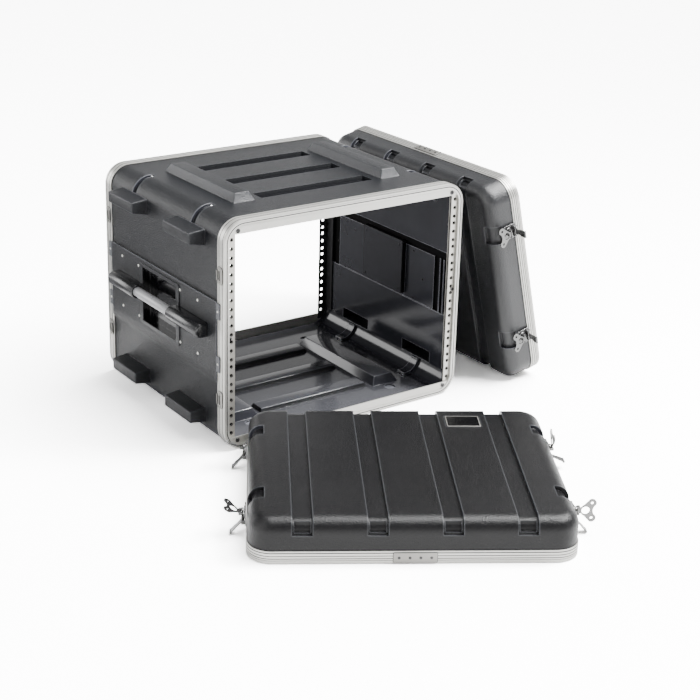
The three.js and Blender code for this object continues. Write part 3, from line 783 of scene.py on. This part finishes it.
def latch_base():
    b = rbox('Z', -13.5, 13.5, 18, 48, 4, 2.1, 3.6, .4, 6)
    dome = revolve([(0, 0), (9.5, 0), (9.5, 1.2), (9.0, 1.9), (8.0, 2.2), (0, 2.2)], 36)
    dome.data.transform(Matrix.Translation((0, BOSS_Y, 3.4)))
    parts = [dome]
    for s in (1, -1):
        parts.append(box(s * 8.2, s * 10.4, 20.5, 27, 3.4, 9.4))
        for y in (22, 44.5):
            r_ = revolve([(0, 0), (1.8, 0), (1.6, .6), (.9, .9), (0, 1.0)], 14)
            r_.data.transform(Matrix.Translation((s * 11.2 if y > 30 else s * 5.0, y, 3.5)))
            parts.append(r_)
    parts.append(rod('X', 1.3, -9, 9, PIN_Y, PIN_Z, 16))
    return fuse(b, parts, 'UNION')


def latch_boss():
    b = rod('Z', 6.5, 5.9, 9.1, 0, 0, 32, .5)
    parts = [rbox('X', -2.4, 2.4, 8.4, 13.9, 1.2, s * 5.5, s * 7.5, 0, 4) for s in (1, -1)]
    parts.append(rod('X', 1.2, -6.5, 6.5, 0, WING_Z, 16))
    return fuse(b, parts, 'UNION')


def latch_wing():
    pts = [(-5, 1.2), (5, 1.2), (5, 4.5), (7.2, 6.2), (9.2, 9.2)]
    def arc(cx, cy, r, a0, a1, n):
        for i in range(n + 1):
            t = math.radians(a0 + (a1 - a0) * i / n)
            pts.append((cx + r * math.cos(t), cy + r * math.sin(t)))
    arc(12.5, 21, 6.8, -28, 118, 16)
    arc(0, 35, 12.5, -58, -122, 12)
    arc(-12.5, 21, 6.8, 62, 208, 16)
    pts += [(-9.2, 9.2), (-7.2, 6.2), (-5, 4.5)]
    w = prism('Z', pts, WING_Z - .9, WING_Z + .9)
    fuse(w, [rod('Z', 2.3, 0, 30, 12.5, 21, 20), rod('Z', 2.3, 0, 30, -12.5, 21, 20), rod('Z', 6.4, 0, 30, 0, 11.4, 32)])
    fuse(w, [rod('X', 2.3, -5, 5, 0, WING_Z, 24)], 'UNION')
    return fuse(w, [rod('X', 1.6, -8, 8, 0, WING_Z, 24)])


def latch_hook():
    h = rod('X', 2.7, -7.6, 7.6, 0, 0, 24)
    arm = prism('Z', [(-6.5, -27.4), (6.5, -27.4), (6.5, -18), (5.0, -14), (5.0, -8), (6.5, -4), (6.5, 0), (-6.5, 0), (-6.5, -4), (-5.0, -8), (-5.0, -14), (-6.5, -18)], -.9, .9)
    fuse(h, [arm, rod('X', 2.1, -6.5, 6.5, -27.6, -.6, 20, .5)], 'UNION')
    return fuse(h, [rod('X', 1.7, -9, 9, 0, 0, 24)])


protos = {"base": latch_base(), "boss": latch_boss(), "wing": latch_wing(), "hook": latch_hook()}


def basis(x, y, z, o):
    m = Matrix.Identity(4)
    for i in range(3):
        m[i][0], m[i][1], m[i][2], m[i][3] = x[i], y[i], z[i], o[i]
    return m


def latch(prefix, lid, lidM, side, v, turn, flip, hook):
    here = lidM @ basis((0, side, 0), (0, 0, 1), (side, 0, 0), (side * (W / 2 - SIN), v, 0))
    t = here @ Matrix.Translation((0, BOSS_Y, 0)) @ Matrix.Rotation(math.radians(turn), 4, 'Z')
    w = t @ Matrix.Translation((0, 0, WING_Z)) @ Matrix.Rotation(math.radians(flip), 4, 'X') @ Matrix.Translation((0, 0, -WING_Z))
    h = here @ Matrix.Translation((0, PIN_Y, PIN_Z)) @ Matrix.Rotation(math.radians(-hook), 4, 'X')
    for k, M, body in (("base", here, lid), ("boss", t, f"{prefix}_boss"), ("wing", w, f"{prefix}_wing"), ("hook", h, f"{prefix}_hook")):
        finish_piece(clone(protos[k]), f"{prefix}_{k}_look", [M_ZINC], place=M, body=body, nodes=(f"{prefix}_{k}",), bevel=.25 if k in ("wing", "hook", "base") else 0)


def lid(prefix, M, badge, side, latches):
    finish_piece(lid_shell(badge), f"{prefix}_shell_look", [M_LID if badge else M_REAR_LIT, M_IN], place=M, body=prefix, nodes=(f"{prefix}_shell",), chooser=lid_inner)
    finish_piece(lid_frame(), f"{prefix}_frame_look", [M_ALU, M_LINE_SHADE], place=M, body=prefix, nodes=(f"{prefix}_frame",), chooser=lid_lines)
    finish_piece(splice(side), f"{prefix}_splice_look", [M_PLATE, M_LINE_SHADE, M_SCREW], chooser=splice_faces, place=M, body=prefix, nodes=(f"{prefix}_splice_plate",))
    if badge:
        b = rbox('Z', 82, 140, 120, 162, 2, LID_H - 1.5, LID_H + .4, .4)
        rim = fuse(rbox('Z', 82.8, 139.2, 120.8, 161.2, 1.6, LID_H + .2, LID_H + .8, .2), [prism('Z', rr(53, 37, 1.2, 4, 111, 141), 60, 90)])
        fuse(b, [rim], 'UNION')
        finish_piece(b, "front_lid_badge_plate_look", [M_DARK, M_PLATE], chooser=lambda c, n: 1 if c.z > LID_H + .45 else 0, place=M, body=prefix, nodes=("front_lid_badge_plate",))
    n = 1
    for s in (1, -1):
        for v in (-LATCH_V, LATCH_V):
            latch(f"{prefix}_latch_{n}", prefix, M, s, v, *latches[n - 1])
            n += 1


MF = Matrix.Translation((-93, -505, 0)) @ Matrix.Rotation(math.radians(-32), 4, 'Z')
lid("front_lid", MF, True, -1, ((90, 90, 42), (0, 0, 68), (0, 60, 42), (20, 66, 42)))
sn, cs = math.sin(math.radians(13.5)), math.cos(math.radians(13.5))
MR = basis((0, -1, 0), (-sn, 0, cs), (-cs, 0, -sn), (389.3, 1, 209.3))
lid("rear_lid", MR, False, 1, ((0, 0, 100), (0, 0, 92), (0, 0, 100), (0, 0, 92)))
for p in protos.values():
    kill(p)

# -------------------------------------------------------------------- stage
def white_out(nt, src, dst, v):
    # an over-exposed sweep: brighter to look at than what it gives the object
    mx = nt.nodes.new("ShaderNodeMix")
    mx.data_type = 'RGBA'
    nt.links.new(nt.nodes.new("ShaderNodeLightPath").outputs["Is Camera Ray"], mx.inputs[0])
    nt.links.new(src, mx.inputs[6])
    mx.inputs[7].default_value = (v, v, v, 1)
    nt.links.new(mx.outputs[2], dst)


def stage_mat():
    m, nt, p = mat("floor")
    n = tex(nt, "ShaderNodeTexNoise", 1.2, 2)
    base = ramp(nt, n.outputs["Fac"], (.86, .86, .86), (.89, .89, .89)).outputs["Color"]
    white_out(nt, base, p.inputs["Base Color"], 2.7)
    p.inputs["Roughness"].default_value = .55
    p.inputs["Specular IOR Level"].default_value = .25
    return m


fl = prism('Z', [(-14, -14), (14, -14), (14, 14), (-14, 14)], -.02, -.0005, "floor")
fl.data.materials.append(stage_mat())

world = bpy.data.worlds.new("studio")
bpy.context.scene.world = world
world.use_nodes = True
bg = world.node_tree.nodes["Background"]
bg.inputs["Strength"].default_value = 1.0
# white sweep round the horizon, dark studio above it, soft box overhead
wt = world.node_tree
gen = wt.nodes.new("ShaderNodeTexCoord")
sep = wt.nodes.new("ShaderNodeSeparateXYZ")
wt.links.new(gen.outputs["Generated"], sep.inputs[0])
sky = wt.nodes.new("ShaderNodeValToRGB")
cr = sky.color_ramp
cr.elements[0].position, cr.elements[0].color = 0, (1.05, 1.05, 1.05, 1)
cr.elements[1].position, cr.elements[1].color = 1, (.9, .9, .9, 1)
for pos_, v_ in ((.345, 1.05), (.44, .20), (.74, .18), (.86, .9)):
    e_ = cr.elements.new(pos_)
    e_.color = (v_, v_, v_, 1)
wt.links.new(sep.outputs["Z"], sky.inputs["Fac"])
white_out(wt, sky.outputs["Color"], bg.inputs["Color"], 3.4)


def area(name, loc, target, sx, sy, power, col=(1, 1, 1)):
    l = bpy.data.lights.new(name, 'AREA')
    l.shape = 'RECTANGLE'
    l.size, l.size_y = sx, sy
    l.energy = power
    l.color = col
    o = bpy.data.objects.new(name, l)
    bpy.context.scene.collection.objects.link(o)
    o.location = loc
    o.rotation_mode = 'QUATERNION'
    o.rotation_quaternion = (Vector(target) - Vector(loc)).to_track_quat('-Z', 'Y')
    o.visible_camera = False
    return o


sun_d = bpy.data.lights.new("top_sun", 'SUN')
sun_d.energy = 11.0
sun_d.angle = math.radians(46)
sun = bpy.data.objects.new("top_sun", sun_d)
bpy.context.scene.collection.objects.link(sun)
sun.rotation_mode = 'QUATERNION'
sun.rotation_quaternion = Vector((-.38, .14, -1)).to_track_quat('-Z', 'Y')
area("back_left", (-1.85, 2.85, 1.0), (0, 0.1, 0.35), 1.3, 1.5, 44)
area("left_soft", (-2.8, -0.4, 1.5), (0, 0, 0.2), 1.2, 1.8, 48)
area("front_right", (1.45, -1.0, 2.1), (0, -0.2, 0.05), 0.8, 0.8, 130)

# a dark card that only tones down what the left side and the inside mirror
card = prism('Z', [(-.24, .222), (.235, .222), (.235, 2.4), (-1.7, 2.4), (-1.7, .62), (-.24, .62)], .001, .0015, "card")
m_, nt_, p_ = mat("card")
nz = tex(nt_, "ShaderNodeTexNoise", 3, 2)
nt_.links.new(ramp(nt_, nz.outputs["Fac"], (.10, .10, .105), (.13, .13, .135)).outputs["Color"], p_.inputs["Base Color"])
p_.inputs["Roughness"].default_value = .9
p_.inputs["Specular IOR Level"].default_value = .05
card.data.materials.append(m_)
for k in ("visible_camera", "visible_diffuse", "visible_shadow", "visible_transmission"):
    setattr(card, k, False)

# ------------------------------------------------------------------- camera
F, CX, CY, CZ, YAW, PITCH, ROLL, SHIFT = 1510.4634, -1435.5078, -1991.5362, 1128.9288, 0.6252, 0.3292, 0.0282, -0.12
d = Vector((math.sin(YAW) * math.cos(PITCH), math.cos(YAW) * math.cos(PITCH), -math.sin(PITCH)))
r = Vector((math.cos(YAW), -math.sin(YAW), 0))
u = r.cross(d)
r2 = r * math.cos(ROLL) + u * math.sin(ROLL)
u2 = -r * math.sin(ROLL) + u * math.cos(ROLL)
cam_d = bpy.data.cameras.new("cam")
cam = bpy.data.objects.new("cam", cam_d)
bpy.context.scene.collection.objects.link(cam)
cam.matrix_world = basis(r2, u2, -d, (CX * MM, (CY - 11.5) * MM, CZ * MM))
cam_d.sensor_fit = 'HORIZONTAL'
cam_d.sensor_width = 36
cam_d.lens = F * 36 / 700
cam_d.shift_y = SHIFT
cam_d.clip_start, cam_d.clip_end = .05, 60
bpy.context.scene.camera = cam
